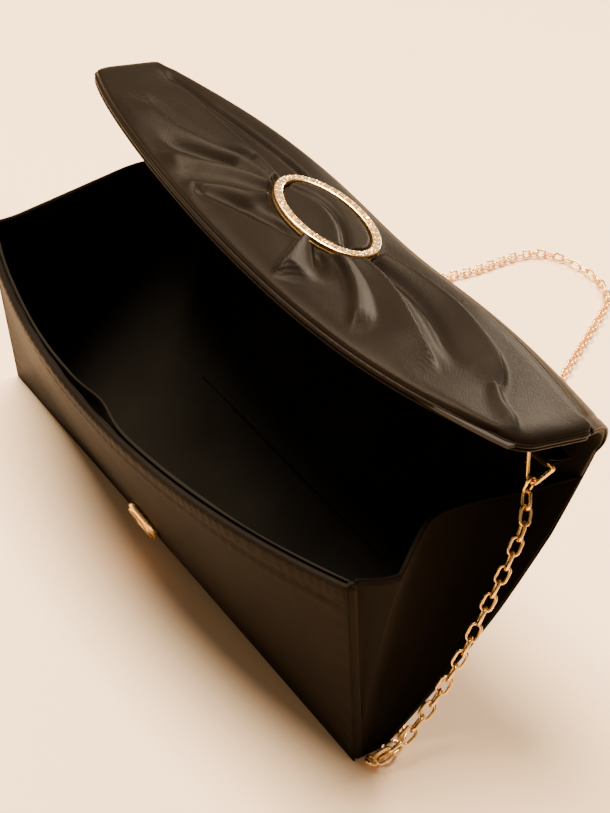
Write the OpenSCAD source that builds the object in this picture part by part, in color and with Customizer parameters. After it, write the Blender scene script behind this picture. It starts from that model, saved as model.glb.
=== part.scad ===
// Satin evening clutch with a gathered flap, an oval stone-set ring and a chain strap.
// Standing open on its narrow base. X runs along the bag, -Y is the front, +Z is up. Millimetres.

/* [Part] */
// node to build

/* [Body] */
// length of the base
base_length = 250; // [230:2:270]
// length of the mouth, corner to corner
mouth_length = 240; // [220:2:256]
// width of the base strip
base_width = 10; // [8:1:14]
// height of the front panel's corners
front_height = 99; // [90:1:110]
// how far the front corners lean out
front_reach = 43.5; // [36:0.5:50]
// how far the front edge bows out at its middle
front_bow = 22; // [0:1:26]
// how far the front edge dips at its middle
front_dip = 11; // [0:1:14]
// fullness of the front panel at mid height
front_bulge = 1.5; // [0:0.5:6]
// how much lower the front panel's left corner stands
left_drop = 10; // [0:1:14]
// height of the back panel
back_height = 128.4; // [118:0.2:138]
// how far the back panel leans
back_reach = 67; // [58:1:74]
// fullness of the back panel at mid height
back_bulge = 6; // [0:1:9]
// how much the back panel's sides bow out at mid height
side_bow = 3; // [0:0.5:5]
// depth of the gusset fold at the mouth
gusset_fold = 18.5; // [10:0.5:26]
// sag of the gusset's top edge
gusset_sag = 15; // [0:1:18]
// how far the chain presses the left gusset's edge down
left_sag = 23; // [18:1:28]

/* [Flap] */
// half length of the crease between the spine and the flap
flap_half = 132; // [122:1:138]
// distance of the crease in front of the back edge at its ends
crease_back = 35.6; // [30:0.2:42]
// height of the crease at its ends
crease_height = 150.5; // [142:0.5:158]
// how far the crease bows back at its middle
crease_bow = 11; // [0:1:16]
// how far the crease rises at its middle
crease_rise = 6.5; // [0:0.5:12]
// position of the flap's free edge at its ends
edge_end = 0; // [-4:1:8]
// how far the free edge bows forward at its middle
edge_bow = 19.5; // [10:0.5:28]
// how far the free edge droops at its middle
edge_droop = 3.5; // [0:0.5:8]
// arch across the flap
flap_arch = 0.3; // [0:0.1:5]
// how far the crease sinks beside the ring
crease_dip = 5.5; // [0:0.5:8]
// how far the left half of the free edge is drawn back
edge_draw = 6; // [0:0.5:8]

/* [Ornament and closure] */
// half of the oval ring's long axis
ring_a = 26.5; // [24:0.5:34]
// half of the oval ring's short axis
ring_b = 16; // [13:0.5:22]
// width of the ring's band
ring_band = 3.6; // [3:0.1:6]
// height of the ring's band
ring_depth = 3.4; // [3:0.1:6]
// height of the ring above the middle of the flap's board
ring_lift = 3.5; // [3.3:0.1:4.5]
// centre of the ring along Y
ring_y = 24; // [18:1:30]
// stones round the ring
stone_count = 40; // [24:2:48]
// diameter of one stone
stone_d = 2.2; // [1.6:0.1:2.8]
// diameter of the magnetic snap
snap_d = 18; // [14:1:20]
// height of the snap on the front panel, as a share of it
snap_share = 0.25; // [0.2:0.01:0.6]

/* [Strap] */
// width of the chain's links
chain_d = 5.5; // [4.5:0.5:6.5]
// wire of the strap rings
ring_wire = 1.8; // [1.4:0.1:2.2]
// half width of a strap ring
ring_half = 6; // [5:0.5:8]
// drop of a strap ring
ring_drop = 11; // [9:0.5:14]

/* [Hidden] */
half_base = base_length / 2;
half_mouth = mouth_length / 2;
hinge_y = base_width / 2 + 2;
hinge_z = 1.2;
cover_in = 0.8;
cover_out = 1.6;
board_half = 0.7;
lining_in = -0.8;
lining_out = -1.5;
strap_x = 112;
strap_y = 47;
strap_z = 121.5;
tab_length = 7;
band_lift = 2.7;
bar_depth = 0.8;
bar_gap = 0.2;
bore_clearance = 0.05;
snap_inset = 12;
columns = [for (k = [-10:10]) sin(9 * k)];
gusset_columns = [0, 0.07, 0.14, 0.22, 0.28, 0.34, 0.41, 0.48, 0.56, 0.66, 0.74, 0.8, 0.84, 0.91, 0.96, 1];
stone_r = stone_d / 2;
chain_r = chain_d / 2;
right_route = [
    [112.3, 46.8, 106], [114.6, 45.5, 103.7], [118.9, 42.5, 99], [121.8, 39.2, 90], [123.8, 36, 80],
    [126, 31, 65], [128.5, 26, 50], [130, 21, 37], [131, 16.5, 27], [131.8, 11, 18.5], [132.4, 6, 13],
    [132.2, 2, 9.6]
];
floor_route = [
    [129.4, -3.8, 2.8], [128.6, 2, 2.8], [128.3, 8, 2.8], [126.8, 14, 2.8], [121, 18, 2.8], [108, 25, 2.8],
    [96, 43, 2.8], [84, 70, 2.8], [66, 108, 2.8], [47, 146, 2.8], [26, 182, 2.8], [4, 220, 2.8],
    [-10, 244, 2.8], [-22, 265, 2.8], [-34, 288, 2.8], [-46, 312, 2.8], [-57, 334, 2.8], [-68, 356, 2.8],
    [-80, 376, 2.8], [-94, 386, 2.8], [-110, 388, 2.8], [-125, 382, 2.8], [-134, 370, 2.8],
    [-136, 352, 2.8], [-134, 332, 2.8], [-131, 308, 2.8], [-130, 285, 2.8], [-129, 250, 2.8],
    [-130, 210, 2.8], [-131, 170, 2.8], [-131, 130, 2.8], [-131, 95, 2.8], [-131, 70, 2.8]
];
left_route = [
    [-131, 60, 4.6], [-130.8, 53, 9.5], [-130.5, 47.5, 20], [-130.4, 44, 35], [-130.3, 42.5, 50],
    [-129.8, 42, 66], [-127.6, 43, 80], [-123, 44.6, 91], [-118.5, 45.8, 99], [-114.6, 46.4, 103.7],
    [-112.3, 46.8, 106]
];

function mix(a, b, t) = a + (b - a) * t;
function dome(u) = 1 - u * u;
function full(u) = 1 - pow(abs(u), 2.4);
function square_end(u) = 1 - pow(abs(u), 3.2);

// Front panel: straight at the base, bowed at the mouth. o is the distance outside the middle of the board.
function left_end(u) = pow(max(-u, 0), 2);
function front_top(u) = [
    half_mouth * u,
    0.35 * left_drop * left_end(u) - front_reach - front_bow * dome(u),
    front_height - front_dip * dome(u) - left_drop * left_end(u)
];
function front_low(u) = [half_base * u, -hinge_y, hinge_z];
function front_dir(u) = let (d = front_top(u) - front_low(u)) [0, d[1], d[2]] / norm([0, d[1], d[2]]);
function front_out(u) = let (d = front_dir(u)) [0, -d[2], d[1]];
function front_at(u, t, o) =
    mix(front_low(u), front_top(u), t) + front_out(u) * (o + front_bulge * 4 * t * (1 - t) * dome(u));

// Back panel: slightly full.
function back_low(u) = [half_base * u, hinge_y, hinge_z];
function back_top(u) = [half_mouth * u, back_reach, back_height];
function back_out() = let (d = back_top(0) - back_low(0)) [0, d[2], -d[1]] / norm(d);
function back_at(u, t, o) =
    mix(back_low(u), back_top(u), t) + back_out() * (o + back_bulge * 4 * t * (1 - t))
    + [u * side_bow * 4 * t * (1 - t), 0, 0];

// Gusset: from the front panel's side edge to the back panel's, creased near the front and folded inwards.
// side is -1 or 1. The shares are of gusset_fold and gusset_sag at the mouth.
fold_share = [
    [0, 0], [0.12, -0.03], [0.22, 0], [0.34, 0.43], [0.47, 0.86], [0.6, 1], [0.77, 0.97], [0.9, 0.54], [1, 0]
];
sag_share = [
    [0, 0], [0.12, 0.4], [0.22, 0.63], [0.34, 0.6], [0.47, 0.6], [0.6, 0.8], [0.77, 1], [0.9, 0.67], [1, 0]
];
left_fold_share = [[0, 0.1], [0.6, 0.15], [0.74, 0.3], [0.8, 0.65], [0.84, 0.8], [0.91, 0.7], [1, 0]];
left_sag_share = [[0, 0], [0.6, 0.02], [0.74, 0.08], [0.8, 0.55], [0.84, 1], [0.91, 1], [0.96, 0.5], [1, 0]];
function crease_share(t) = 0.22 * t;
function gusset_place(v, c) = v < c ? 0.22 * v / c : 0.22 + 0.78 * (v - c) / (1 - c);
function gusset_at(side, v, t, o) =
    let (
        p = mix(front_at(side, t, -2.6), back_at(side, (side > 0 ? 0.9 : 0.985) * t, -1.9), v),
        w = gusset_place(v, crease_share(t)),
        fold = gusset_fold * pow(t, 0.8) * lookup(w, side > 0 ? fold_share : left_fold_share),
        sag = t * (side > 0 ? gusset_sag * lookup(w, sag_share) : left_sag * lookup(w, left_sag_share))
    )
    [side * (abs(p[0]) - fold + o), p[1], p[2] - sag];

// Flap: s runs from the free edge to the crease.
function hump(u, middle, reach) = exp(-pow((u - middle) / reach, 2));
function crease(u) = [
    flap_half * u,
    crease_back + crease_bow * full(u),
    crease_height + crease_rise * full(u) - crease_dip * hump(u, 0.18, 0.35)
];
function edge(u) = [
    (flap_half - 4) * u,
    edge_end - edge_bow * square_end(u) + edge_draw * hump(u, -0.6, 0.5),
    crease_height - 0.5 - edge_droop * dome(u)
];
function flap_at(u, s, o) =
    mix(edge(u), crease(u), s) + [0, 0, o + flap_arch * 4 * s * (1 - s) * dome(u)];

// Spine: s runs from the crease to the back panel's top edge.
function spine_at(u, s, o) =
    mix(crease(u), back_top(u), s) + [0, 0.57, 0.82] * (o + 4 * 4 * s * (1 - s));

// Closed sheet between two grids of points; a is the side that columns x rows faces.
module sheet(a, b) {
    r = len(a);
    c = len(a[0]);
    n = r * c;
    points = concat([for (row = a) each row], [for (row = b) each row]);
    fronts = [for (i = [0:r - 2]) for (j = [0:c - 2]) let (p = i * c + j)
        each [[p, p + c, p + c + 1], [p, p + c + 1, p + 1]]];
    backs = [for (f = fronts) [f[0] + n, f[2] + n, f[1] + n]];
    lows = [for (j = [0:c - 2]) each [[j, j + 1, j + 1 + n], [j, j + 1 + n, j + n]]];
    tops = [for (j = [0:c - 2]) let (p = (r - 1) * c + j)
        each [[p + 1, p, p + n], [p + 1, p + n, p + 1 + n]]];
    lefts = [for (i = [0:r - 2]) let (p = i * c)
        each [[p + c, p, p + n], [p + c, p + n, p + c + n]]];
    rights = [for (i = [0:r - 2]) let (p = i * c + c - 1)
        each [[p, p + c, p + c + n], [p, p + c + n, p + n]]];
    polyhedron(points, concat(fronts, backs, lows, tops, lefts, rights));
}

// Tube of n sides along a route of points.
module tube(route, r, n) {
    k = len(route);
    rings = [for (i = [0:k - 1])
        let (
            d = route[min(i + 1, k - 1)] - route[max(i - 1, 0)],
            w = d / norm(d),
            e = cross(w, abs(w[0]) > 0.9 ? [0, 1, 0] : [1, 0, 0]),
            p = e / norm(e),
            q = cross(w, p)
        )
        [for (j = [0:n - 1]) route[i] + r * (p * cos(360 * j / n) + q * sin(360 * j / n))]
    ];
    sides = [for (i = [0:k - 2]) for (j = [0:n - 1])
        let (a = i * n + j, b = i * n + (j + 1) % n)
        each [[a, b + n, b], [a, a + n, b + n]]];
    start = [for (j = [0:n - 1]) j];
    end = [for (j = [0:n - 1]) k * n - 1 - j];
    polyhedron([for (ring = rings) each ring], concat(sides, [start, end]));
}

module front_sheet(t0, t1, o_out, o_in, rows, inset = 0) {
    k = 1 - inset / half_base;
    sheet(
        [for (i = [0:rows]) [for (u = columns) front_at(u * k, mix(t0, t1, i / rows), o_out)]],
        [for (i = [0:rows]) [for (u = columns) front_at(u * k, mix(t0, t1, i / rows), o_in)]]
    );
}

module back_sheet(u0, u1, t0, t1, o_in, o_out) {
    sheet(
        [for (i = [0:8]) [for (u = [u0, u1]) back_at(u, mix(t0, t1, i / 8), o_in)]],
        [for (i = [0:8]) [for (u = [u0, u1]) back_at(u, mix(t0, t1, i / 8), o_out)]]
    );
}

module gusset_sheet(side, o_out, o_in) {
    o_plus = side > 0 ? o_out : o_in;
    o_minus = side > 0 ? o_in : o_out;
    sheet(
        [for (t = [0.05, 0.25, 0.5, 0.75, 1]) [for (v = gusset_columns) gusset_at(side, v, t, o_plus)]],
        [for (t = [0.05, 0.25, 0.5, 0.75, 1]) [for (v = gusset_columns) gusset_at(side, v, t, o_minus)]]
    );
}

module flap_sheet(s0, s1, o_top, o_under, rows, inset = 0) {
    k = 1 - inset / flap_half;
    sheet(
        [for (i = [0:rows]) [for (u = columns) flap_at(u * k, mix(s0, s1, i / rows), o_top)]],
        [for (i = [0:rows]) [for (u = columns) flap_at(u * k, mix(s0, s1, i / rows), o_under)]]
    );
}

module spine_sheet(s0, s1, o_top, o_under) {
    sheet(
        [for (i = [0:4]) [for (u = columns) spine_at(u, mix(s0, s1, i / 4), o_top)]],
        [for (i = [0:4]) [for (u = columns) spine_at(u, mix(s0, s1, i / 4), o_under)]]
    );
}

module oval(a, b) {
    polygon([for (k = [0:47]) [a * cos(7.5 * k), b * sin(7.5 * k)]]);
}

// Seats a piece over the middle of the flap at y, along its slope both ways.
module on_flap(y, lift) {
    s = (y - edge(0)[1]) / (crease(0)[1] - edge(0)[1]);
    p = flap_at(0, s, lift);
    d = flap_at(0, s + 0.05, 0) - flap_at(0, s - 0.05, 0);
    e = flap_at(0.1, s, 0) - flap_at(-0.1, s, 0);
    translate(p) rotate([atan2(d[2], d[1]), 0, 0]) rotate([0, -atan2(e[2], e[0]), 0]) children();
}

// Seats a piece on the front panel's outer face.
module on_front(share, lift) {
    d = front_at(0, share + 0.05, 0) - front_at(0, share - 0.05, 0);
    translate(front_at(0, share, lift)) rotate([90 + atan2(-d[1], d[2]), 0, 0]) children();
}

module bar(a, b, r) {
    d = b - a;
    translate(a) rotate([0, acos(d[2] / norm(d)), atan2(d[1], d[0])]) cylinder(h = norm(d), r = r, $fn = 24);
}

module base_satin() {
    color("#191513") translate([-half_base, -base_width / 2, 0]) cube([base_length, base_width, 0.8]);
}

module base_board() {
    color("#2a2725") translate([-half_base + 2, -base_width / 2 + 1, 0.85])
        cube([base_length - 4, base_width - 2, 1.2]);
}

module base_lining() {
    color("#0f0d0d") translate([-half_base + 3, -base_width / 2 + 1.5, 2.1])
        cube([base_length - 6, base_width - 3, 0.6]);
}

module back_board() {
    color("#2a2725") back_sheet(-0.995, 0.995, 0.004, 0.985, -board_half, board_half);
}

module back_satin() {
    color("#191513") back_sheet(-1, 1, 0, 0.98, cover_in, cover_out);
}

module back_lining() {
    color("#0f0d0d") back_sheet(-0.99, 0.99, 0.012, 0.975, lining_out, lining_in);
}

module slip_pocket() {
    color("#211d1d") back_sheet(-0.38, 0.6, 0.36, 0.74, -2.2, -1.6);
}

module pocket_binding() {
    color("#0f0d0d") back_sheet(-0.38, 0.6, 0.745, 0.775, -2.6, -1.6);
}

module gusset(side) {
    color("#191513") gusset_sheet(side, 0, -0.6);
}

module gusset_lining(side) {
    color("#0f0d0d") gusset_sheet(side, -0.9, -1.4);
}

module ring_tab(side) {
    color("#191513") translate([side * strap_x, strap_y, strap_z]) difference() {
        union() {
            translate([-tab_length / 2, 0, 0]) rotate([0, 90, 0]) cylinder(h = tab_length, r = 2, $fn = 32);
            translate([-tab_length / 2, 0, -2]) cube([tab_length, 12, 1.4]);
        }
        translate([-tab_length / 2 - 1, 0, 0]) rotate([0, 90, 0])
            cylinder(h = tab_length + 2, r = ring_wire / 2 + bore_clearance, $fn = 32);
    }
}

module strap_ring(side) {
    r = ring_wire / 2;
    low = 1.4;
    color("#c79a4a") translate([side * strap_x, strap_y, strap_z]) {
        bar([-ring_half - 0.6, 0, 0], [ring_half + 0.6, 0, 0], r);
        bar([-ring_half, 0, 0.3], [-low, 0, -ring_drop], r * 0.96);
        bar([ring_half, 0, 0.3], [low, 0, -ring_drop], r * 0.96);
        bar([-low - 0.9, 0, -ring_drop + 0.2], [low + 0.9, 0, -ring_drop + 0.2], r * 0.98);
    }
}

module front_board() {
    color("#2a2725") front_sheet(0.006, 0.99, board_half, -board_half, 6, 1);
}

module front_satin() {
    color("#191513") front_sheet(0, 1, cover_out, cover_in, 6);
}

module front_lining() {
    color("#0f0d0d") front_sheet(0.012, 1, lining_in, lining_out, 6, 1.5);
}

module front_hem() {
    color("#1d1816") front_sheet(0.93, 1, 2.2, 1.65, 1);
}

module snap_socket() {
    color("#c79a4a") on_front(snap_share, cover_out + 0.2) difference() {
        union() {
            cylinder(h = 2.6, r = snap_d / 2, $fn = 64);
            cylinder(h = 3.6, r = snap_d / 2 - 1.2, $fn = 64);
        }
        translate([0, 0, 1.4]) cylinder(h = 3, r = 3.2, $fn = 48);
    }
}

module flap_board() {
    color("#2a2725") flap_sheet(0.03, 0.97, board_half, -board_half, 4, 2);
}

module flap_satin() {
    color("#191513") flap_sheet(0.01, 0.99, cover_out + 0.6, cover_in, 4, 0.6);
}

module flap_lining() {
    color("#0f0d0d") flap_sheet(0.02, 0.975, lining_in, lining_out, 4, 1.5);
}

module flap_binding() {
    color("#191513") flap_sheet(-0.025, 0.005, cover_out, lining_out, 1);
}

module spine_board() {
    color("#2a2725") spine_sheet(0.05, 0.94, board_half, -board_half);
}

module spine_satin() {
    color("#191513") spine_sheet(0.02, 0.92, cover_out, cover_in);
}

module spine_lining() {
    color("#0f0d0d") spine_sheet(0.05, 0.9, lining_in, lining_out);
}

module ring_ornament() {
    color("#c79a4a") on_flap(ring_y, ring_lift) linear_extrude(height = ring_depth) difference() {
        oval(ring_a, ring_b);
        oval(ring_a - ring_band, ring_b - ring_band);
    }
}

module rhinestones() {
    a = ring_a - ring_band / 2;
    b = ring_b - ring_band / 2;
    color("#e8e6e0") on_flap(ring_y, ring_lift) for (k = [0:stone_count - 1])
        translate([a * cos(360 * k / stone_count), b * sin(360 * k / stone_count), ring_depth])
            cylinder(h = 0.8, r1 = stone_r, r2 = stone_r * 0.55, $fn = 16);
}

// Flat bar soldered across the ring's underside.
module ring_bar() {
    reach = ring_b - 1;
    color("#c79a4a") on_flap(ring_y, ring_lift)
        translate([-1.5, -reach, -bar_depth]) cube([3, 2 * reach, bar_depth]);
}

// Gathered cloth that passes through the ring and over its bar.
module gather_band() {
    color("#191513") on_flap(ring_y, band_lift) difference() {
        rotate([0, 90, 0]) translate([0, 0, -8]) cylinder(h = 16, r = 10, $fn = 64);
        translate([-9, -11, -22]) cube([18, 22, 22]);
        translate([-9, -11, 3.2]) cube([18, 22, 10]);
        translate([-2, -12, -1]) cube([4, 24, ring_lift - band_lift + bar_gap + 1]);
    }
}

module snap_plate() {
    color("#c79a4a") on_flap(edge(0)[1] + snap_inset, lining_out - 0.4) rotate([180, 0, 0])
        cylinder(h = 1.4, r = snap_d / 2, $fn = 64);
}

module snap_stud() {
    color("#c79a4a") on_flap(edge(0)[1] + snap_inset, lining_out - 1.85) rotate([180, 0, 0])
        cylinder(h = 1.8, r = 3, $fn = 48);
}

module chain_right() {
    color("#c79a4a") tube(right_route, chain_r, 8);
}

module chain_floor() {
    color("#c79a4a") tube(floor_route, chain_r, 8);
}

module chain_left() {
    color("#c79a4a") tube(left_route, chain_r, 8);
}

base_satin();
base_board();
base_lining();
back_board();
back_satin();
back_lining();
slip_pocket();
pocket_binding();
gusset(-1);  // gusset_left
gusset(1);  // gusset_right
gusset_lining(-1);  // gusset_lining_left
gusset_lining(1);  // gusset_lining_right
ring_tab(-1);  // ring_tab_left
ring_tab(1);  // ring_tab_right
front_board();
front_satin();
front_lining();
front_hem();
snap_socket();
flap_board();
flap_satin();
flap_lining();
flap_binding();
spine_board();
spine_satin();
spine_lining();
ring_ornament();
rhinestones();
ring_bar();
gather_band();
snap_plate();
snap_stud();
strap_ring(-1);  // strap_ring_left
strap_ring(1);  // strap_ring_right
chain_right();
chain_floor();
chain_left();
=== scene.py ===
# Satin evening bag with a gathered flap, an oval stone-set ring and a chain strap, standing open.
# Shapes are written in millimetres, in the part's own frame (X along the bag, -Y front, +Z up),
# and are scaled to metres when their meshes are made.
import math

import bmesh
import bpy
import numpy as np
from mathutils import Matrix, Vector


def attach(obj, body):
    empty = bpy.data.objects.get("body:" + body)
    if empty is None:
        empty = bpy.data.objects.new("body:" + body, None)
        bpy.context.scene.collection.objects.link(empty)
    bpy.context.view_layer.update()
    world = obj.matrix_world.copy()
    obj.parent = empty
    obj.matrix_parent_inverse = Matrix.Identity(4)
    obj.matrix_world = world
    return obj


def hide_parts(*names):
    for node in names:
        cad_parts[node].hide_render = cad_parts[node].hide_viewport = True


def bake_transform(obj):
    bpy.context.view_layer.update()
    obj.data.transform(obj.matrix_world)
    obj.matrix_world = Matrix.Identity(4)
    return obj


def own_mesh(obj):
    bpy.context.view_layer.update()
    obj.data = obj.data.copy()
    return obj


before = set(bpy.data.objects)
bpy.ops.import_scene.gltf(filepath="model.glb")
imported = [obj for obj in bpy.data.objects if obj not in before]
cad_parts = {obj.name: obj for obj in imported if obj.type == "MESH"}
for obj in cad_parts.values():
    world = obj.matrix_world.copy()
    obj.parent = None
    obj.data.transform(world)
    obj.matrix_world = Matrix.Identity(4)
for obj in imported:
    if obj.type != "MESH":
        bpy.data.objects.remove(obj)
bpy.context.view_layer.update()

MM = 0.001
PI = math.pi

# Half the bag's length at the base and at the top of its panels, in mm.
BASE_HALF = 125
TOP_HALF = 120
# Foot and head of the back panel as (y, z).
BACK_FOOT = (7, 1.2)
BACK_HEAD = (67, 128.4)
# Millimetres in one unit of each panel's two coordinates. slab() rounds the rims evenly with them.
FRONT_SIZE = (122, 100)
WALL_SIZE = (122, 175)
BACK_SIZE = (122, 140)
BASE_SIZE = (125, 12.4)
GUSSET_SIZE = (100, 105)
FLAP_SIZE = (130, 66)


# ---------------------------------------------------------------- camera

def look(location, forward, right, lens):
    """Camera at a place, looking along forward, with the picture's right-hand direction."""
    back = -Vector(forward).normalized()
    side = Vector(right) - back * Vector(right).dot(back)
    side.normalize()
    up = back.cross(side)
    data = bpy.data.cameras.new("camera")
    data.lens = lens
    data.sensor_width = 36
    data.clip_start = 0.01
    camera = bpy.data.objects.new("camera", data)
    bpy.context.scene.collection.objects.link(camera)
    camera.matrix_world = Matrix((
        (side.x, up.x, back.x, location[0]),
        (side.y, up.y, back.y, location[1]),
        (side.z, up.z, back.z, location[2]),
        (0, 0, 0, 1),
    ))
    bpy.context.scene.camera = camera


look((0.3357, -0.3451, 0.408), (-0.5399, 0.6302, -0.558), (0.6045, 0.7516, 0.264), 65.93)


# ---------------------------------------------------------------- small maths

def xyz(x, y, z):
    return np.stack(np.broadcast_arrays(x, y, z), axis=-1).astype(float)


def mix(a, b, t):
    return a + (b - a) * t


def smooth(a, b, x):
    t = np.clip((x - a) / (b - a), 0, 1)
    return t * t * (3 - 2 * t)


def bump(x, centre, width):
    return np.exp(-((x - centre) / width) ** 2)


def dome(u):
    return 1 - u * u


def full(u):
    return 1 - np.abs(u) ** 2.4


def left_end(u):
    return np.clip(-u, 0, None) ** 2


def ripple(u, s, seed, scale=1.0):
    """Gentle unevenness of hand-sewn cloth, between about -1 and 1."""
    a, b, c = seed, seed * 1.7 + 1, seed * 2.3 + 2
    return (np.sin(5.1 * u * scale + 3.7 * s + a) * 0.5 + np.sin(9.3 * u * scale - 6.1 * s + b) * 0.3
            + np.sin(17 * u * scale + 11 * s + c) * 0.2)


def spline(points, count):
    """Points evenly spaced along a smooth curve through a route."""
    p = np.asarray(points, float)
    p = np.vstack([2 * p[0] - p[1], p, 2 * p[-1] - p[-2]])
    t = np.linspace(0, 1, 13)[:-1, None]
    out = []
    for a, b, c, d in zip(p[:-3], p[1:-2], p[2:-1], p[3:]):
        out.append(0.5 * (2 * b + (c - a) * t + (2 * a - 5 * b + 4 * c - d) * t ** 2
                          + (3 * b - a - 3 * c + d) * t ** 3))
    curve = np.vstack(out + [p[-2][None]])
    run = np.concatenate([[0], np.cumsum(np.linalg.norm(np.diff(curve, axis=0), axis=1))])
    at = np.linspace(0, run[-1], count)
    return np.stack([np.interp(at, run, curve[:, k]) for k in range(curve.shape[1])], axis=1), run[-1]


# ---------------------------------------------------------------- panels of the bag, as in the part

def front_low(u):
    return xyz(BASE_HALF * u, -7, 1.2)


def front_top(u):
    """The front panel's hem: bowed out and down in the middle, and lower at the left corner."""
    y = -43.5 - 22 * dome(u) + 3.5 * left_end(u)
    return xyz(TOP_HALF * u, y, 99 - 11 * dome(u) - 10 * left_end(u))


def front_at(u, t, o):
    """u runs along the panel from -1 to 1, t from its fold (0) to its hem (1), and o outwards in mm."""
    u, t, o = np.broadcast_arrays(u, t, o)
    low, top = front_low(u), front_top(u)
    d = top - low
    n = np.hypot(d[..., 1], d[..., 2])
    out = xyz(0, -d[..., 2] / n, d[..., 1] / n)
    return mix(low, top, t[..., None]) + out * (o + 6 * t * (1 - t) * dome(u))[..., None]


BACK_OUT = np.array([0, 127.2, -60]) / math.hypot(127.2, 60)


def back_top(u):
    return xyz(TOP_HALF * u, *BACK_HEAD)


def back_at(u, t, o):
    """As front_at, from the back panel's foot to the hinge of the flap."""
    u, t, o = np.broadcast_arrays(u, t, o)
    belly = 4 * t * (1 - t)
    foot = xyz(BASE_HALF * u, *BACK_FOOT)
    return (mix(foot, back_top(u), t[..., None]) + BACK_OUT * (o + 6 * belly)[..., None]
            + xyz(3 * u * belly, 0, 0))


def crease(u):
    """Line between the spine and the flap's face. It sinks beside the ring."""
    return xyz(132 * u, 35.6 + 11 * full(u), 150.5 + 6.5 * full(u) - 5.5 * bump(u, 0.18, 0.35))


def edge(u):
    """The flap's free edge, drawn back on the left."""
    return xyz(128 * u, -19.5 * (1 - np.abs(u) ** 3.2) + 6 * bump(u, -0.6, 0.5), 150 - 3.5 * dome(u))


def flap_at(u, s, o):
    """The flap's plane, with its four corners rounded, the right front one the most."""
    u, s, o = np.broadcast_arrays(u, s, o)
    near = np.clip((0.3 - s) / 0.3, 0, 1)
    far = np.clip((s - 0.9) / 0.12, 0, 1)
    cut = np.where(u < 0, 0.03, 0.075)
    k = 1 - cut * (1 - np.sqrt(1 - near ** 2)) - 0.02 * (1 - np.sqrt(1 - far ** 2))
    p = mix(edge(u), crease(u), s[..., None])
    p[..., 0] = p[..., 0] * k - 2.5 * smooth(-0.7, -1, u) * (1 - s)
    p[..., 2] += o + 1.2 * s * (1 - s) * dome(u)
    return p


# How far a gusset folds inwards and its top edge sags, as a share of the deepest place, from the
# front panel (0) to the back panel (1).
FOLD_SHARE = ([0, 0.12, 0.22, 0.34, 0.47, 0.6, 0.77, 0.9, 1], [0, -0.03, 0, 0.43, 0.86, 1, 0.97, 0.54, 0])
SAG_SHARE = ([0, 0.12, 0.22, 0.34, 0.47, 0.6, 0.77, 0.9, 1], [0, 0.4, 0.63, 0.6, 0.6, 0.8, 1, 0.67, 0])


def soft_table(table, corner):
    """A table drawn as a smooth curve; corner keeps the crease at 0.22 sharp."""
    x = np.linspace(0, 1, 201)
    y = np.interp(x, *table)
    for _ in range(110):
        soft = y.copy()
        soft[1:-1] = (y[:-2] + 2 * y[1:-1] + y[2:]) / 4
        if corner:
            soft[44] = y[44]
        y = soft
    return x, y


LEFT_FOLD_SHARE = ([0, 0.05, 0.6, 0.74, 0.8, 0.84, 0.91, 1], [0, 0.1, 0.15, 0.3, 0.65, 0.8, 0.7, 0])
LEFT_SAG_SHARE = ([0, 0.6, 0.74, 0.8, 0.84, 0.91, 0.96, 1], [0, 0.02, 0.08, 0.55, 1, 1, 0.5, 0])
FOLD_CURVE = {1: soft_table(FOLD_SHARE, True), -1: soft_table(LEFT_FOLD_SHARE, False)}
SAG_CURVE = {1: soft_table(SAG_SHARE, False), -1: soft_table(LEFT_SAG_SHARE, False)}


def gusset_at(side, v, t, o):
    """Side panel, creased from its bottom corner to its top edge near the front, and folded inwards."""
    v, t, o = np.broadcast_arrays(v, t, o)
    one = np.full(v.shape, float(side))
    p = mix(front_at(one, t, -2.6), back_at(one, (0.9 if side > 0 else 0.985) * t, -1.9), v[..., None])
    c = 0.22 * np.clip(t, 0.02, 2)
    w = np.where(v < c, 0.22 * v / c, 0.22 + 0.78 * (v - c) / (1 - c))
    fold = 18.5 * np.clip(t, 0, 2) ** 0.8 * np.interp(w, *FOLD_CURVE[side])
    p[..., 0] = side * (np.abs(p[..., 0]) - fold + o)
    p[..., 2] -= (15 if side > 0 else 23) * t * np.interp(w, *SAG_CURVE[side])
    return p


def wall_section(u, count=160):
    """The back panel and the spine above it as one line: places and outward directions."""
    t = np.linspace(0, 1, 60)
    s = np.linspace(1, 0, 40)[1:]
    foot, head = np.array(BACK_FOOT), np.array(BACK_HEAD)
    back = mix(foot, head, t[:, None]) + BACK_OUT[1:] * (24 * t * (1 - t))[:, None]
    top = crease(u)[..., 1:]
    spine = mix(top, head, s[:, None]) + np.array([0.57, 0.82]) * (16 * s * (1 - s))[:, None]
    line = np.vstack([back, spine])
    run = np.concatenate([[0], np.cumsum(np.linalg.norm(np.diff(line, axis=0), axis=1))])
    at = np.linspace(0, run[-1], count)
    line = np.stack([np.interp(at, run, line[:, k]) for k in range(2)], axis=1)
    for _ in range(6):
        line[1:-1] = (line[:-2] + 2 * line[1:-1] + line[2:]) / 4
    d = np.gradient(line, axis=0)
    d /= np.linalg.norm(d, axis=1)[:, None]
    return line, np.stack([d[:, 1], -d[:, 0]], axis=1)


def wall_at(u, w, o):
    """w is 0 at the foot of the back panel and 1 at the crease of the flap."""
    u, w, o = np.broadcast_arrays(u, w, o)
    p = np.zeros(u.shape + (3,))
    grid = np.linspace(0, 1, 160)
    for i in range(u.shape[0]):
        line, out = wall_section(u[i, 0])
        y, z, ny, nz = [np.interp(w[i], grid, a) for a in (line[:, 0], line[:, 1], out[:, 0], out[:, 1])]
        half = np.interp(w[i], [0, 0.2, 0.38, 0.57, 0.76, 1],
                         [BASE_HALF, 125.6, 125.5, 123.9, TOP_HALF, 132])
        p[i] = xyz(half * u[i], y + ny * o[i], z + nz * o[i])
    return p


# ---------------------------------------------------------------- mesh building

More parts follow.
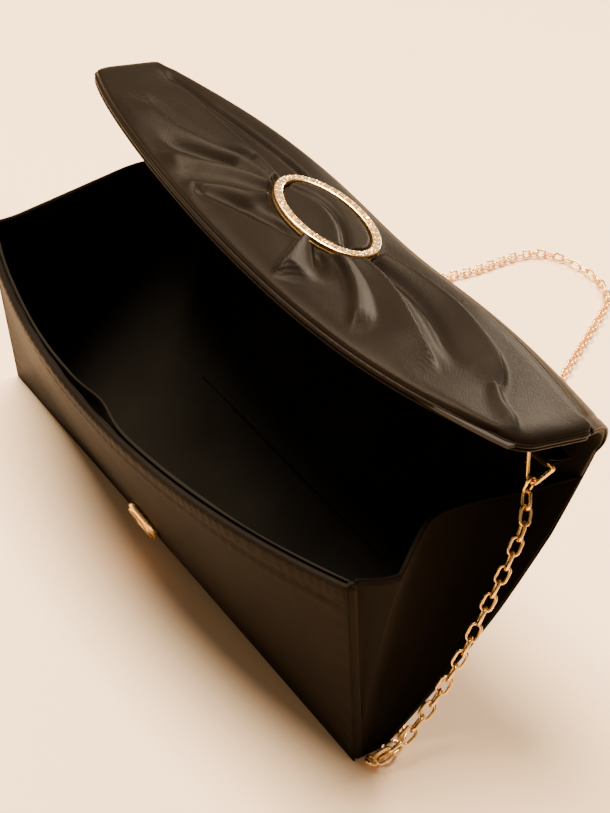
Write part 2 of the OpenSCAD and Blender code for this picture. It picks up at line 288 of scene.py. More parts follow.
def slab(surface, u_span, s_span, o_span, lengths, counts, lift=None, under=None):
    """Closed sheet with rounded rims. surface(u, s, o) places a point, with o in mm off the panel."""
    (u0, u1), (s0, s1), (low, high) = u_span, s_span, o_span
    r, middle = (high - low) / 2, (high + low) / 2
    ru, rs = r / lengths[0], r / lengths[1]
    phi = np.linspace(0, PI / 2, 4)[:-1]
    u = np.concatenate([u0 + ru - ru * np.cos(phi), np.linspace(u0 + ru, u1 - ru, counts[0] + 1),
                        (u1 - ru + ru * np.cos(phi))[::-1]])
    scale = np.concatenate([np.sin(phi), np.ones(counts[0] + 1), np.sin(phi)[::-1]])[:, None]
    turn = np.linspace(0, PI, 7)[1:-1]
    along = np.linspace(s0 + rs, s1 - rs, counts[1] + 1)
    s = np.concatenate([along, s1 - rs + rs * np.sin(turn), along[::-1], s0 + rs - rs * np.sin(turn)])
    w = np.concatenate([np.ones(len(along)), np.cos(turn), -np.ones(len(along)), -np.cos(turn)])[None, :]
    gu, gs = np.meshgrid(u, s, indexing="ij")
    o = middle + r * scale * w
    if lift is not None:
        o = o + lift(gu, gs) * np.clip(w, 0, 1) * scale
    if under is not None:
        o = o - under(gu, gs) * np.clip(-w, 0, 1) * scale
    points = surface(gu, gs, o)
    rows, cols = gu.shape
    a = (np.arange(rows - 1)[:, None] * cols + np.arange(cols)[None, :])
    b = (np.arange(rows - 1)[:, None] * cols + (np.arange(cols)[None, :] + 1) % cols)
    faces = np.stack([a, a + cols, b + cols, b], axis=-1).reshape(-1, 4)
    return points.reshape(-1, 3), faces.tolist()


def frames(route, closed=False):
    """Directions along a route and a turning-free pair of sideways directions at each point."""
    p = np.asarray(route, float)
    if closed:
        d = np.roll(p, -1, axis=0) - np.roll(p, 1, axis=0)
    else:
        d = np.gradient(p, axis=0)
    d /= np.linalg.norm(d, axis=1)[:, None]
    start = np.array([0, 1.0, 0]) if abs(d[0][1]) < 0.9 else np.array([1.0, 0, 0])
    n = start - d[0] * start.dot(d[0])
    n /= np.linalg.norm(n)
    normals = [n]
    for k in range(1, len(p)):
        n = normals[-1] - d[k] * normals[-1].dot(d[k])
        normals.append(n / np.linalg.norm(n))
    normals = np.array(normals)
    return p, d, normals, np.cross(d, normals)


def tube(route, radius, sides=12, closed=False, squeeze=1.0):
    """Round or flattened tube along a route, with rounded ends."""
    p, d, n, b = frames(route, closed)
    r = np.full(len(p), float(radius))
    if not closed:
        cap = [0.0, 0.55, 0.85]
        first = [(p[0] - d[0] * radius * math.sqrt(1 - c * c), c) for c in cap]
        last = [(p[-1] + d[-1] * radius * math.sqrt(1 - c * c), c) for c in cap[::-1]]
        p = np.vstack([[f[0] for f in first], p, [f[0] for f in last]])
        caps = [[max(f[1], 0.01) * radius for f in end] for end in (first, last)]
        r = np.concatenate([caps[0], r, caps[1]])
        n = np.vstack([np.repeat(n[:1], 3, 0), n, np.repeat(n[-1:], 3, 0)])
        b = np.vstack([np.repeat(b[:1], 3, 0), b, np.repeat(b[-1:], 3, 0)])
    a = np.linspace(0, 2 * PI, sides, endpoint=False)
    ring = (n[:, None] * np.cos(a)[None, :, None] + b[:, None] * np.sin(a)[None, :, None] * squeeze)
    points = (p[:, None] + ring * r[:, None, None]).reshape(-1, 3)
    k = len(p)
    faces = []
    for i in range(k if closed else k - 1):
        for j in range(sides):
            q, e = i * sides + j, i * sides + (j + 1) % sides
            faces.append([q, e, (e + sides) % (k * sides), (q + sides) % (k * sides)])
    if not closed:
        faces.append(list(range(sides))[::-1])
        faces.append([(k - 1) * sides + j for j in range(sides)])
    return points, faces


def lathe(profile, place, steps=48):
    """Turned piece: profile of (radius, height) pairs that start and end on the axis."""
    points, faces = [], []
    count = len(profile)
    for i in range(steps):
        a = 2 * PI * i / steps
        points += [(r * math.cos(a), r * math.sin(a), h) for r, h in profile]
        e = (i + 1) % steps
        faces += [[i * count + k, e * count + k, e * count + k + 1, i * count + k + 1]
                  for k in range(count - 1)]
    return moved(np.array(points), place), faces


def moved(points, place):
    m = np.array(place)
    return points @ m[:3, :3].T + m[:3, 3]


def make(name, parts, material, body, nodes=(), crisp=None):
    """One object from several closed shells, riding on a body if one is given."""
    verts, faces = [], []
    for points, shell in parts:
        base = len(verts)
        verts.extend((np.asarray(points) * MM).tolist())
        faces.extend([[i + base for i in f] for f in shell])
    mesh = bpy.data.meshes.new(name)
    mesh.from_pydata(verts, [], faces)
    bm = bmesh.new()
    bm.from_mesh(mesh)
    bmesh.ops.remove_doubles(bm, verts=bm.verts, dist=2e-6)
    bmesh.ops.dissolve_degenerate(bm, edges=bm.edges, dist=1e-6)
    bmesh.ops.recalc_face_normals(bm, faces=bm.faces)
    bm.to_mesh(mesh)
    bm.free()
    mesh.polygons.foreach_set("use_smooth", [True] * len(mesh.polygons))
    if crisp:
        mesh.set_sharp_from_angle(angle=math.radians(crisp))
    mesh.materials.append(material)
    piece = bpy.data.objects.new(name, mesh)
    bpy.context.scene.collection.objects.link(piece)
    if body:
        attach(piece, body)
    if nodes:
        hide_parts(*nodes)
    return piece


# ---------------------------------------------------------------- materials

def nodes_of(name):
    material = bpy.data.materials.new(name)
    material.use_nodes = True
    tree = material.node_tree
    return material, tree, tree.nodes["Principled BSDF"]


def noise(tree, coord, scale, detail=3.0, stretch=(1, 1, 1)):
    mapping = tree.nodes.new("ShaderNodeMapping")
    mapping.inputs["Scale"].default_value = stretch
    tree.links.new(coord.outputs["Object"], mapping.inputs["Vector"])
    texture = tree.nodes.new("ShaderNodeTexNoise")
    texture.inputs["Scale"].default_value = scale
    texture.inputs["Detail"].default_value = detail
    tree.links.new(mapping.outputs["Vector"], texture.inputs["Vector"])
    return texture.outputs["Fac"]


def ramp(tree, value, stops):
    node = tree.nodes.new("ShaderNodeValToRGB")
    while len(node.color_ramp.elements) < len(stops):
        node.color_ramp.elements.new(0.5)
    for element, (place, colour) in zip(node.color_ramp.elements, stops):
        element.position = place
        element.color = (*colour, 1)
    tree.links.new(value, node.inputs["Fac"])
    return node.outputs["Color"]


def spread(tree, value, low, high):
    node = tree.nodes.new("ShaderNodeMapRange")
    node.inputs["To Min"].default_value = low
    node.inputs["To Max"].default_value = high
    tree.links.new(value, node.inputs["Value"])
    return node.outputs["Result"]


def bumped(tree, shader, layers):
    """Bump nodes one after another: (height, strength, distance in metres)."""
    last = None
    for height, strength, distance in layers:
        node = tree.nodes.new("ShaderNodeBump")
        node.inputs["Strength"].default_value = strength
        node.inputs["Distance"].default_value = distance
        tree.links.new(height, node.inputs["Height"])
        if last:
            tree.links.new(last, node.inputs["Normal"])
        last = node.outputs["Normal"]
    tree.links.new(last, shader.inputs["Normal"])


def cloth(name, dark, light, rough, sheen, weave, gloss=0.4):
    """Woven cloth: slow colour drift, floats along X, a cross thread and slight unevenness."""
    material, tree, shader = nodes_of(name)
    coord = tree.nodes.new("ShaderNodeTexCoord")
    drift = noise(tree, coord, 28, 4)
    tree.links.new(ramp(tree, drift, [(0.3, dark), (0.7, light)]), shader.inputs["Base Color"])
    floats = noise(tree, coord, 2000, 2, (0.5, 1.4, 1.4))
    cross = tree.nodes.new("ShaderNodeTexWave")
    cross.bands_direction = "DIAGONAL"
    cross.inputs["Scale"].default_value = 900
    cross.inputs["Distortion"].default_value = 1.5
    tree.links.new(coord.outputs["Object"], cross.inputs["Vector"])
    uneven = noise(tree, coord, 75, 2)
    tree.links.new(spread(tree, floats, rough - 0.07, rough + 0.07), shader.inputs["Roughness"])
    bumped(tree, shader, [
        (uneven, 0.25, 0.0006),
        (floats, weave, 0.00014),
        (cross.outputs["Fac"], weave * 0.4, 0.00002),
    ])
    shader.inputs["Sheen Weight"].default_value = sheen
    shader.inputs["Sheen Roughness"].default_value = 0.35
    shader.inputs["Sheen Tint"].default_value = (1.0, 0.78, 0.58, 1)
    shader.inputs["Specular Tint"].default_value = (1.0, 0.82, 0.64, 1)
    shader.inputs["Specular IOR Level"].default_value = gloss
    shader.inputs["IOR"].default_value = 1.25
    return material


def metal(name, dark, light, rough):
    material, tree, shader = nodes_of(name)
    coord = tree.nodes.new("ShaderNodeTexCoord")
    tone = noise(tree, coord, 140, 3)
    tree.links.new(ramp(tree, tone, [(0.35, dark), (0.7, light)]), shader.inputs["Base Color"])
    wear = noise(tree, coord, 700, 4)
    tree.links.new(spread(tree, wear, rough - 0.06, rough + 0.1), shader.inputs["Roughness"])
    bumped(tree, shader, [(wear, 0.12, 0.00005)])
    shader.inputs["Metallic"].default_value = 1
    return material


def glitter(name):
    """Foil-backed crystal."""
    material, tree, shader = nodes_of(name)
    coord = tree.nodes.new("ShaderNodeTexCoord")
    tone = noise(tree, coord, 420, 1)
    colour = ramp(tree, tone, [(0.3, (0.82, 0.6, 0.3)), (0.55, (0.97, 0.87, 0.66))])
    tree.links.new(colour, shader.inputs["Base Color"])
    tree.links.new(spread(tree, tone, 0.03, 0.12), shader.inputs["Roughness"])
    shader.inputs["Metallic"].default_value = 0.75
    shader.inputs["Coat Weight"].default_value = 1
    shader.inputs["Coat Roughness"].default_value = 0.03
    return material


satin = cloth("satin", (0.0052, 0.0037, 0.0025), (0.0085, 0.0061, 0.0042), 0.4, 0.045, 0.8, 0.13)
front_satin = cloth("front_satin", (0.0056, 0.0043, 0.0033), (0.009, 0.007, 0.0054), 0.5, 0.008, 1.0,
                    0.06)
# Darker copy of the satin for the side panels: painted shade in its colour, because the side panels stand
# in shadow.
side_satin_painted_shade = cloth("side_satin_painted_shade", (0.0024, 0.0017, 0.0011), (0.004, 0.0028, 0.0019), 0.58, 0.015, 0.3, 0.06)
lining = cloth("lining_cloth", (0.0065, 0.0056, 0.0042), (0.0105, 0.0092, 0.007), 0.65, 0.015, 0.4, 0.1)
board = cloth("stiffener", (0.03, 0.027, 0.025), (0.045, 0.04, 0.037), 0.85, 0.0, 0.5)
gold = metal("gold_plate", (0.86, 0.52, 0.17), (0.97, 0.68, 0.29), 0.25)
stone = glitter("crystal")


# ---------------------------------------------------------------- chain strap

# The chain's centre line in mm: hanging on the right, lying on the table, and hanging on the left.
RIGHT_ROUTE = [
    (112.1, 46.9, 108.6), (112.3, 46.8, 106), (114.6, 45.5, 103.7), (118.9, 42.5, 99), (121.8, 39.2, 90),
    (123.8, 36, 80), (126, 31, 65), (128.5, 26, 50), (130, 21, 37), (131, 16.5, 27), (131.8, 11, 18.5),
    (132.4, 6, 13), (132.2, 2, 9.6),
]
FLOOR_ROUTE = [
    (129.4, -3.8), (128.6, 2), (128.3, 8), (126.8, 14), (121, 18), (108, 25), (96, 43), (84, 70),
    (66, 108), (47, 146), (26, 182), (4, 220), (-10, 244), (-22, 265), (-34, 288), (-46, 312),
    (-57, 334), (-68, 356), (-80, 376), (-94, 386), (-110, 388), (-125, 382), (-134, 370),
    (-136, 352), (-134, 332), (-131, 308), (-130, 285), (-129, 250), (-130, 210), (-131, 170),
    (-131, 130), (-131, 95), (-131, 70),
]
LEFT_ROUTE = [
    (-131, 60, 4.6), (-130.8, 53, 9.5), (-130.5, 47.5, 20), (-130.4, 44, 35), (-130.3, 42.5, 50),
    (-129.8, 42, 66), (-127.6, 43, 80), (-123, 44.6, 91), (-118.5, 45.8, 99), (-114.6, 46.4, 103.7),
    (-112.3, 46.8, 106), (-112.1, 46.9, 108.6),
]
FLOOR_Z = 2.8
LANDING = (131.4, -2.4, 5.8)
LINK_PITCH = 5.9
LINK_HALF = 3.62
LINK_SIDE = 2.08
LINK_WIRE = 0.68


def link(centre, along, across):
    """One oval wire link."""
    straight = LINK_HALF - LINK_SIDE
    path = []
    for end in (1, -1):
        for k in range(9):
            a = PI / 2 - PI * k / 8
            reach = straight + LINK_SIDE * math.cos(a)
            path.append(centre + end * (along * reach + across * LINK_SIDE * math.sin(a)))
    return tube(path, LINK_WIRE, 8, closed=True)


def chain():
    """The chain's links, each turned a quarter from the last, all in one piece."""
    route = RIGHT_ROUTE + [LANDING] + [(x, y, FLOOR_Z) for x, y in FLOOR_ROUTE] + LEFT_ROUTE
    path, length = spline(route, 900)
    links = 2 * round(length / LINK_PITCH / 2)
    run = np.linspace(0, length, len(path))
    p, d, n, b = frames(path)

    def turn_to(at, want):
        i = int(np.argmin(np.abs(run - at)))
        return math.atan2(b[i].dot(want), n[i].dot(want))

    hang = np.array([0.72, 0.69, 0])
    lying = np.array([0, 0, 1.0])
    stops = [0, 25, 105, 160, length - 170, length - 110, length]
    turns = [0, turn_to(25, hang), turn_to(105, hang), turn_to(300, lying) + PI / 4,
             turn_to(300, lying) + PI / 4, turn_to(length - 60, hang),
             turn_to(length, np.array([0, 1.0, 0]))]
    turns = np.unwrap(turns, period=PI)
    parts = []
    for k in range(links + 1):
        at = length * k / links
        i = int(np.argmin(np.abs(run - at)))
        a = np.interp(at, stops, turns) + (PI / 2 if k % 2 else 0)
        parts.append(link(p[i], d[i], n[i] * math.cos(a) + b[i] * math.sin(a)))
    piece = make("chain_strap", parts, gold, "back", ("chain_right", "chain_floor", "chain_left"))


chain()


# ---------------------------------------------------------------- front panel

def front_lift(u, t):
    """Hem crease, slight puckers beside the seams, and slow unevenness."""
    below = bump(t, 0.905, 0.012) * -0.35 + bump(t, 0.875, 0.02) * 0.25
    pucker = np.sin(150 * u + 4 * np.sin(9 * u)) * 0.1 * smooth(0.8, 0.91, t)
    seam = np.sin(70 * t + 3 * np.sin(7 * t)) * 0.14 * smooth(0.93, 0.985, np.abs(u))
    rim = smooth(1, 0.985, np.abs(u)) * smooth(0, 0.03, t)
    return (below + pucker + seam + 0.45 * ripple(u * 0.7, t, 0.4)) * rim


def hem_lift(u, t):
    """Fine gathers along the folded hem, and its own fullness."""
    gathers = np.sin(190 * u + 5 * np.sin(13 * u)) * 0.1 + np.sin(420 * u + 40 * t) * 0.05
    return gathers + 0.15 * np.sin(PI * (t - 0.925) / 0.08)


def front_lip(u, t, o):
    """The lining's top edge stands away from the panel at its middle."""
    lip = 3.0 * bump(u, 0.0, 0.09) + 0.9 * bump(u, -0.14, 0.12) + 0.35
    return front_at(u, t, o - lip * smooth(0.88, 1, t))


def turned_edge(side):
    """The cloth turned round the panel's side, down to the side panel's seam."""
    t = np.linspace(0.012, 0.985, 70)
    return tube(front_at(np.full_like(t, side), t, -0.75) - np.array([0.9 * side, 0, 0]), 1.95, 14)


front_cover = make("front_cover", [
    slab(front_at, (-1, 1), (-0.012, 0.99), (0.75, 1.65), FRONT_SIZE, (240, 80), front_lift),
    turned_edge(-1),
    turned_edge(1),
], front_satin, "front", ("front_satin",))
front_band = make("front_hem_band", [
    slab(front_at, (-1, 1), (0.928, 1.006), (-0.74, 2.15), FRONT_SIZE, (360, 8), hem_lift),
], front_satin, "front", ("front_hem",))
front_inside = make("front_lining_sheet", [
    slab(front_lip, (-0.985, 0.985), (0.012, 1.004), (-1.55, -0.85), FRONT_SIZE, (180, 50),
         None, lambda u, t: 0.4 + 0.4 * ripple(u, t, 2.2)),
], lining, "front", ("front_lining",))


# ---------------------------------------------------------------- back panel, spine, base and pocket


def wall_lift(u, w):
    seam = -0.4 * bump(np.abs(u), 0.955, 0.008) - 0.35 * bump(w, 0.985, 0.006)
    rim = smooth(1, 0.985, np.abs(u)) * smooth(0, 0.03, w)
    return (seam + 0.35 * ripple(u * 0.8, w, 1.3)) * rim


back_cover = make("back_cover", [
    slab(wall_at, (-1, 1), (0, 0.999), (0.75, 1.65), WALL_SIZE, (150, 130), wall_lift),
], satin, None, ("back_satin", "spine_satin"))
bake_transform(back_cover)
back_inside = make("back_lining_sheet", [
    slab(wall_at, (-0.998, 0.998), (0.012, 0.998), (-1.5, -0.8), WALL_SIZE, (120, 110), None,
         lambda u, w: 0.3 + 0.3 * ripple(u, w, 3.1)),
], lining, None, ("back_lining", "spine_lining"))
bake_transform(back_inside)

pocket = [
    slab(back_at, (-0.38, 0.6), (0.36, 0.75), (-2.7, -1.9), BACK_SIZE, (70, 40), None,
         lambda u, t: 0.5 + 0.5 * ripple(u, t, 4.4)),
    slab(back_at, (0.568, 0.583), (0.36, 0.765), (-3.7, -1.9), BACK_SIZE, (3, 40)),
    slab(back_at, (0.59, 0.605), (0.36, 0.765), (-3.5, -1.9), BACK_SIZE, (3, 40)),
]
pocket_front = make("slip_pocket_sheet", pocket, lining, "back", ("slip_pocket",))
pocket_edge = make("pocket_edge", [
    slab(back_at, (-0.385, 0.605), (0.742, 0.775), (-3.4, -1.7), BACK_SIZE, (90, 4)),
], lining, "back", ("pocket_binding",))


def base_at(u, s, o):
    return xyz(BASE_HALF * u, mix(-6.2, 6.2, s), o + 0 * u)


base_cover = make("base_cover", [
    slab(base_at, (-1, 1), (0.06, 1), (0.02, 0.85), BASE_SIZE, (120, 10)),
], satin, "back", ("base_satin",))
base_inside = make("base_lining_sheet", [
    slab(base_at, (-0.975, 0.975), (0.22, 0.88), (2.1, 2.7), BASE_SIZE, (60, 8),
         lambda u, s: 0.15 + 0.15 * ripple(u, s, 5.2)),
], lining, "back", ("base_lining",))


# ---------------------------------------------------------------- side panels

def gusset(side, word):
    """One side panel and its lining."""
    def place(t, v, o):
        return gusset_at(side, v, t, o)

    def outside(t, v):
        rim = smooth(0, 0.03, v) * smooth(1, 0.97, v)
        seam = -0.7 * bump(v, 0.925, 0.008) + 0.5 * bump(v, 0.955, 0.015)
        return (seam + 0.5 * ripple(t, v, 1.1 + side)) * rim

    top = np.linspace(0.005, 0.995, 90)
    rolled = gusset_at(side, top, np.full_like(top, 1.0), np.full_like(top, -0.7))
    # The cover takes the darker side satin, whose colour carries painted shade.
    cover = make("gusset_cover_" + word, [
        slab(place, (-0.01, 1), (-0.032, 1.012), (-0.6, 0.15), GUSSET_SIZE, (70, 130), outside),
        tube(rolled, 1.05, 10),
    ], side_satin_painted_shade, "back", ("gusset_" + word,))
    inner = make("gusset_inside_" + word, [
        slab(place, (0.03, 0.99), (0.01, 0.99), (-1.5, -0.9), GUSSET_SIZE, (50, 80)),
    ], lining, "back", ("gusset_lining_" + word,))
    for piece in (cover, inner):
        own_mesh(piece)


gusset(-1, "left")
gusset(1, "right")


# ---------------------------------------------------------------- gathered flap

# Where the oval ring lies on the flap, its half axes and its height above the flap.
RING_Y = 24
RING_A = 24.7
RING_B = 14.2
RING_LIFT = 3.5

# Pleats on the flap: route in X and Y outwards from the ring, height, reach of the gentle side, reach
# of the steep side, which side is steep (1 is left of the route's direction), and where the pleat
# starts to fade out.
FOLDS = [
    ([(-30, 21), (-43, 22), (-61, 23), (-80, 24), (-101, 25), (-120, 23)], 2.8, 7, 1.8, -1, 0.7),
    ([(-27, 18), (-42, 16), (-52, 12), (-63, 8), (-76, 5), (-93, 4), (-110, 3)], 3.6, 6.5, 1.3, -1, 0.7),
    ([(-25, 16), (-36, 10), (-45, 3), (-53, -4), (-66, -9)], 3.4, 6, 1.2, -1, 0.75),
    ([(-20, 12), (-25, 4), (-32, -2), (-38, -8), (-43, -15)], 2.6, 8, 1.8, -1, 0.8),
    ([(5, 13), (10, 3), (16, -7), (22, -17)], 4.6, 9, 1.4, -1, 0.75),
    ([(12, 14), (27, 11), (41, 4), (53, -6), (61, -13)], 3.2, 8, 1.3, -1, 0.75),
    ([(16, 17), (26, 19), (38, 19), (53, 15), (67, 9), (80, 4), (92, -1)], 3.8, 11, 1.3, 1, 0.7),
    ([(24, 28), (38, 32), (54, 33), (67, 32), (80, 29), (93, 25), (102, 19), (109, 11)],
     3.2, 7.5, 1.5, 1, 0.75),
    ([(104, 14), (111, 10), (118, 8), (126, 3)], 1.4, 5, 1.4, 1, 0.6),
]
# Hollows between the pleats: route, depth, half width, and where the hollow starts to fade out.
HOLLOWS = [
    ([(-24, 34), (-38, 34), (-52, 33), (-67, 32), (-85, 31), (-104, 31), (-126, 31)], 3.0, 2.4, 0.85),
    ([(-44, 20), (-60, 14), (-78, 11), (-95, 10), (-108, 10)], 1.6, 3, 0.8),
    ([(-44, 11), (-56, 4), (-65, -1), (-74, -5)], 1.8, 3, 0.6),
    ([(5, 9), (-3, 6), (-12, 2), (-21, -1), (-30, -6), (-36, -10), (-38, -15)], 3.0, 3.6, 0.8),
    ([(8, 12), (15, 8), (22, 4), (31, -3)], 4.2, 3.4, 0.4),
    ([(28, 24), (40, 25), (52, 24), (66, 20), (80, 14), (94, 8)], 2.4, 3.4, 0.7),
]
# The fold in the cloth that fills the ring.
RING_FOLD = [(-23, 21), (-12, 27), (-2, 28), (8, 25), (19, 18)]


def nearest(x, y, route):
    """Signed distance from a route, left of it positive, and the share of the route passed."""
    line, _ = spline(route, 70)
    d = np.gradient(line, axis=0)
    d /= np.linalg.norm(d, axis=1)[:, None]
    best = np.full(x.shape, 1e9)
    signed = np.zeros(x.shape)
    share = np.zeros(x.shape)
    for k, (q, e) in enumerate(zip(line, d)):
        dx, dy = x - q[0], y - q[1]
        far = np.hypot(dx, dy)
        closer = far < best
        best = np.where(closer, far, best)
        signed = np.where(closer, np.where(e[0] * dy - e[1] * dx > 0, far, -far), signed)
        share = np.where(closer, k / 69, share)
    return signed, share


def ring_distance(x, y):
    """Distance outside the middle of the oval ring's band; negative inside it."""
    a, b = RING_A, RING_B
    y = y - RING_Y
    rho = np.sqrt((x / a) ** 2 + (y / b) ** 2) + 1e-6
    slope = np.sqrt((x / a ** 2) ** 2 + (y / b ** 2) ** 2) / rho + 1e-6
    return (rho - 1) / slope


def flap_lift(u, s):
    """Padded rim, pleats that overlap one another, hollows between them and the puff inside the ring."""
    p = flap_at(u, s, np.zeros_like(u))
    x, y = p[..., 0], p[..., 1]
    half, deep = FLAP_SIZE
    rim = np.minimum(np.minimum(s * deep, (1 - s) * deep), (1 - np.abs(u)) * half)
    fullness = 2.3 * np.sqrt(np.clip(1 - (1 - np.clip(rim / 8, 0, 1)) ** 2, 0, 1))
    crowd = np.zeros_like(x)
    for route, height, gentle, steep, side, fade in FOLDS:
        d, share = nearest(x, y, route)
        reach = np.where(d * side > 0, steep, gentle * (0.45 + 0.75 * share))
        crowd += (height * np.exp(-(d / reach) ** 2) * smooth(1.0, fade, share)) ** 4
    folds = crowd ** 0.25 + 0.3 * ripple(u * 1.5, s, 0.9)
    for route, depth, width, fade in HOLLOWS:
        d, share = nearest(x, y, route)
        hollow = depth * np.exp(-(d / (width * (0.6 + 0.5 * share))) ** 2) * smooth(1.0, fade, share)
        folds = folds - hollow
    out = ring_distance(x, y)
    held = smooth(0.8, 4.5, out)
    rim_keep = smooth(0, 6, rim)
    d, share = nearest(x, y, RING_FOLD)
    puff = 1 - smooth(-3.0, -1.5, out)
    inside = puff * (2.6 - 1.7 * np.exp(-(d / 1.4) ** 2) - 0.7 * smooth(0, 9, -d))
    return fullness + np.clip(folds, -2.4, 6) * held * rim_keep + inside


flap_cover = make("flap_cover", [
    slab(flap_at, (-1, 1), (0.005, 0.995), (0.75, 1.5), FLAP_SIZE, (380, 120), flap_lift),
], satin, "flap", ("flap_satin", "gather_band"))
flap_inside = make("flap_lining_sheet", [
    slab(flap_at, (-0.99, 0.99), (0.012, 1.015), (-1.5, -0.8), FLAP_SIZE, (150, 40), None,
         lambda u, s: 0.25 + 0.25 * ripple(u, s, 6.3)),
], lining, "flap", ("flap_lining",))

# Piping round the flap's outline.
around = [(u, 0.0) for u in np.linspace(-0.985, 0.985, 160)]
around += [(1.0, s) for s in np.linspace(0.04, 0.96, 30)]
around += [(u, 1.0) for u in np.linspace(0.985, -0.985, 160)]
around += [(-1.0, s) for s in np.linspace(0.96, 0.04, 30)]
outline = flap_at(np.array([a[0] for a in around]), np.array([a[1] for a in around]),
                  np.full(len(around), 0.1))
make("flap_piping", [
    tube(outline, 0.95, 10, closed=True),
    tube(outline - np.array([0, 0, 1.6]), 0.7, 10, closed=True),
], satin, "flap", ("flap_binding",))


# ---------------------------------------------------------------- oval ring and stones

def on_flap(y, lift):
    """Place over the middle of the flap at y, turned with the flap's slope both ways."""
    low, high = edge(np.array(0.0))[1], crease(np.array(0.0))[1]
    s = (y - low) / (high - low)
    p = flap_at(0.0, s, lift)
    d = flap_at(0.0, s + 0.05, 0.0) - flap_at(0.0, s - 0.05, 0.0)
    e = flap_at(0.1, s, 0.0) - flap_at(-0.1, s, 0.0)
    turn = Matrix.Rotation(math.atan2(d[2], d[1]), 4, "X")
    turn = turn @ Matrix.Rotation(-math.atan2(e[2], e[0]), 4, "Y")
    return Matrix.Translation(Vector(p)) @ turn


def oval_sweep(profile, steps, place):
    """A closed profile carried round the ring's oval."""
    points, faces = [], []
    count = len(profile)
    for i in range(steps):
        a = 2 * PI * i / steps
        c, s = math.cos(a), math.sin(a)
        n = np.array([RING_B * c, RING_A * s])
        n /= np.linalg.norm(n)
        points += [(RING_A * c + n[0] * r, RING_B * s + n[1] * r, h) for r, h in profile]
        e = (i + 1) % steps
        faces += [[i * count + k, e * count + k, e * count + (k + 1) % count, i * count + (k + 1) % count]
                  for k in range(count)]
    return moved(np.array(points), place), faces


def ball(centre, r, place):
    rings = [(r * math.sin(PI * k / 6), r * math.cos(PI * k / 6)) for k in range(1, 6)]
    return lathe([(0, r)] + rings + [(0, -r)], place @ Matrix.Translation(Vector(centre)), 10)


def gem(centre, tilt, place):
    """Round stone with a flat table, eight main facets and a girdle."""
    turn = place @ Matrix.Translation(Vector(centre))
    turn = turn @ Matrix.Rotation(tilt[0], 4, "X") @ Matrix.Rotation(tilt[1], 4, "Y")
    points = []
    for r, h, shift in ((0.55, 0.85, 0.5), (0.9, 0.5, 0.0), (1.1, 0.1, 0.5), (0.9, -0.3, 0.5)):
        angles = [2 * PI * (k + shift) / 8 for k in range(8)]
        points += [(r * math.cos(a), r * math.sin(a), h) for a in angles]
    faces = [list(range(8)), [31 - k for k in range(8)]]
    for k in range(8):
        e = (k + 1) % 8
        a, b = [k, e], [8 + k, 8 + e]
        faces += [[a[0], b[1], a[1]], [a[0], b[0], b[1]]]
        faces += [[8 + k, 16 + k, 8 + e], [8 + e, 16 + k, 16 + e]]
        faces += [[16 + k, 24 + k, 24 + e, 16 + e]]
    return moved(np.array(points), turn), faces


ring_place = on_flap(RING_Y, RING_LIFT)
band = [(-1.8, 0.5), (-1.4, 0.05), (1.4, 0.05), (1.8, 0.5), (1.82, 1.3), (1.6, 1.55), (1.82, 1.8),
        (1.8, 2.75), (1.6, 3.25), (1.3, 3.4), (1.15, 3.25), (1.05, 2.9), (-1.05, 2.9), (-1.15, 3.25),
        (-1.3, 3.4), (-1.6, 3.25), (-1.8, 2.75)]
setting = [oval_sweep(band, 160, ring_place)]
stones = []
STONES = 40
for k in range(STONES):
    a = 2 * PI * k / STONES
    stones.append(gem((RING_A * math.cos(a), RING_B * math.sin(a), 3.15),
                      (0.12 * math.sin(5.3 * k), 0.12 * math.cos(7.9 * k)), ring_place))
    a += PI / STONES
    for r in (-0.75, 0.75):
        n = np.array([RING_B * math.cos(a), RING_A * math.sin(a)])
        n *= r / np.linalg.norm(n)
        bead = (RING_A * math.cos(a) + n[0], RING_B * math.sin(a) + n[1], 3.2)
        setting.append(ball(bead, 0.62, ring_place))
make("ring_frame", setting, gold, "flap", ("ring_ornament",), crisp=40)
make("ring_stones", stones, stone, "flap", ("rhinestones",), crisp=5)


# ---------------------------------------------------------------- snap, strap rings and their tabs

def on_front(share, lift):
    """Place over the middle of the front panel, at a share of its height."""
    u = np.array(0.0)
    p = front_at(u, share, lift)
    d = front_at(u, share + 0.05, 0.0) - front_at(u, share - 0.05, 0.0)
    return Matrix.Translation(Vector(p)) @ Matrix.Rotation(PI / 2 + math.atan2(-d[1], d[2]), 4, "X")


# Profiles of the snap's halves as (radius, height), and where they sit.
socket = [(0, 0), (8.6, 0), (9, 0.4), (9, 2.1), (8.7, 2.5), (8.1, 2.6), (7.8, 2.9), (7.8, 3.4),
          (7.4, 3.6), (4, 3.6), (3.5, 3.45), (3.2, 3.1), (3.2, 1.4), (0, 1.4)]
stud = [(0, 0), (8.7, 0), (9, 0.3), (9, 1.1), (8.6, 1.4), (6, 1.5), (3.3, 1.6), (3, 1.9), (3, 2.9),
        (2.6, 3.25), (0, 3.25)]
SNAP_SHARE = 0.25
SNAP_Y = -7.5
make("snap_socket_disc", [lathe(socket, on_front(SNAP_SHARE, 1.8), 64)], gold, "front",
     ("snap_socket",), crisp=50)
stud_place = on_flap(SNAP_Y, -1.9) @ Matrix.Rotation(PI, 4, "X")
make("snap_stud_disc", [lathe(stud, stud_place, 64)], gold, "flap",
     ("snap_plate", "snap_stud"), crisp=50)


def rounded(corners, radius, steps=6):
    """Closed route with its corners rounded."""
    path = []
    c = [np.array(q, float) for q in corners]
    for k, q in enumerate(c):
        a, b = c[k - 1] - q, c[(k + 1) % len(c)] - q
        a, b = a / np.linalg.norm(a) * radius, b / np.linalg.norm(b) * radius
        for t in np.linspace(0, 1, steps):
            path.append(q + a * (1 - t) ** 2 + b * t ** 2)
    return path


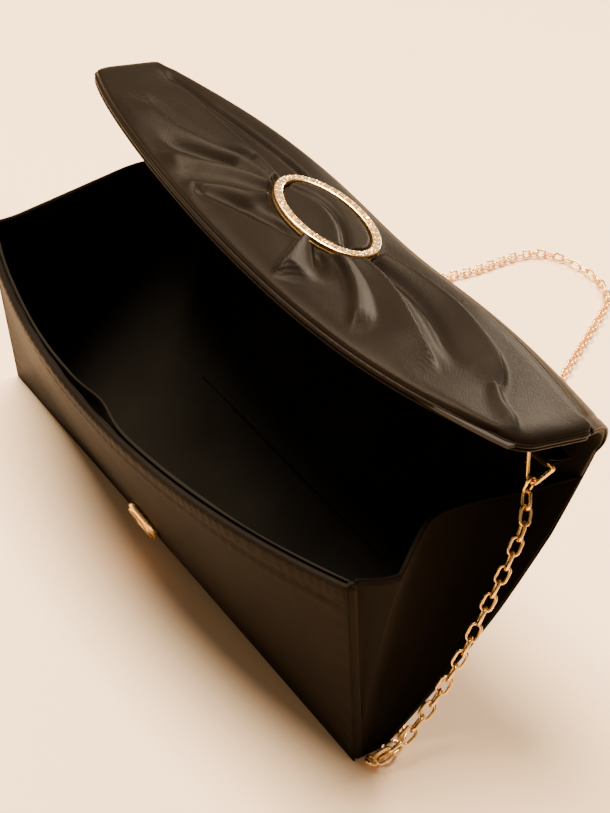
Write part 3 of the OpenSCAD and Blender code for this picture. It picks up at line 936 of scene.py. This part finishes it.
def strap_end(side, word):
    """Wire ring at the back's top corner, and the cloth tab that holds it."""
    pivot = np.array([112 * side, 47, 121.5])
    wire = [pivot + np.array(q) for q in ((-6.4, 0, 0), (6.4, 0, 0), (1.9, 0, -11.2), (-1.9, 0, -11.2))]
    make("wire_ring_" + word, [tube(rounded(wire, 1.5), 0.9, 12, closed=True)], gold,
         "ring_" + word, ("strap_ring_" + word,))
    turn = np.linspace(-1.9, 1.9, 16)
    loop = [(13, -0.9), (8, -0.8), (3, 0.4)]
    loop += [(-1.5 * math.cos(a), -1.5 * math.sin(a)) for a in turn[::-1] * -1]
    loop += [(3, -1.7), (8, -1.8), (13, -1.9)]
    line, length = spline(loop, 60)
    d = np.gradient(line, axis=0)
    d /= np.linalg.norm(d, axis=1)[:, None]

    def strip(u, s, o):
        grid = np.linspace(0, 1, 60)
        y, z, dy, dz = [np.interp(s, grid, a) for a in (line[:, 0], line[:, 1], d[:, 0], d[:, 1])]
        return xyz(3.5 * u, y - dz * o, z + dy * o) + pivot

    make("satin_tab_" + word, [slab(strip, (-1, 1), (0, 1), (-0.3, 0.3), (3.5, length), (10, 60))],
         satin, "back", ("ring_tab_" + word,))


strap_end(-1, "left")
strap_end(1, "right")

for name in ("base_board", "back_board", "front_board", "flap_board", "spine_board"):
    for material_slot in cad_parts[name].material_slots:
        material_slot.material = board
for material_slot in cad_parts["ring_bar"].material_slots:
    material_slot.material = gold


# ---------------------------------------------------------------- floor and light

def stage():
    mesh = bpy.data.meshes.new("floor")
    ring = [(4 * math.cos(2 * PI * k / 96), 4 * math.sin(2 * PI * k / 96), -0.0002) for k in range(96)]
    mesh.from_pydata(ring, [], [list(range(96))])
    material, tree, shader = nodes_of("floor_paint")
    coord = tree.nodes.new("ShaderNodeTexCoord")
    tone = noise(tree, coord, 3, 2)
    colour = ramp(tree, tone, [(0.3, (0.94, 0.66, 0.41)), (0.7, (0.95, 0.7, 0.46))])
    tree.links.new(colour, shader.inputs["Base Color"])
    shader.inputs["Roughness"].default_value = 0.55
    shader.inputs["Specular IOR Level"].default_value = 0.25
    mesh.materials.append(material)
    floor = bpy.data.objects.new("floor", mesh)
    bpy.context.scene.collection.objects.link(floor)


def area(name, place, target, size, power, colour):
    data = bpy.data.lights.new(name, "AREA")
    data.shape = "DISK"
    data.size = size
    data.energy = power
    data.color = colour
    light = bpy.data.objects.new(name, data)
    bpy.context.scene.collection.objects.link(light)
    light.location = place
    light.rotation_euler = (Vector(target) - Vector(place)).to_track_quat("-Z", "Y").to_euler()


stage()
world = bpy.data.worlds.new("studio")
bpy.context.scene.world = world
world.use_nodes = True
world.node_tree.nodes["Background"].inputs["Color"].default_value = (1.0, 0.78, 0.55, 1)
world.node_tree.nodes["Background"].inputs["Strength"].default_value = 0.36
area("key", (-0.5, -0.3, 1.55), (0, 0.1, 0.0), 1.0, 140, (1.0, 0.86, 0.7))
area("window", (-0.5, 1.3, 0.95), (0.05, 0.1, 0.1), 0.5, 38, (1.0, 0.82, 0.62))
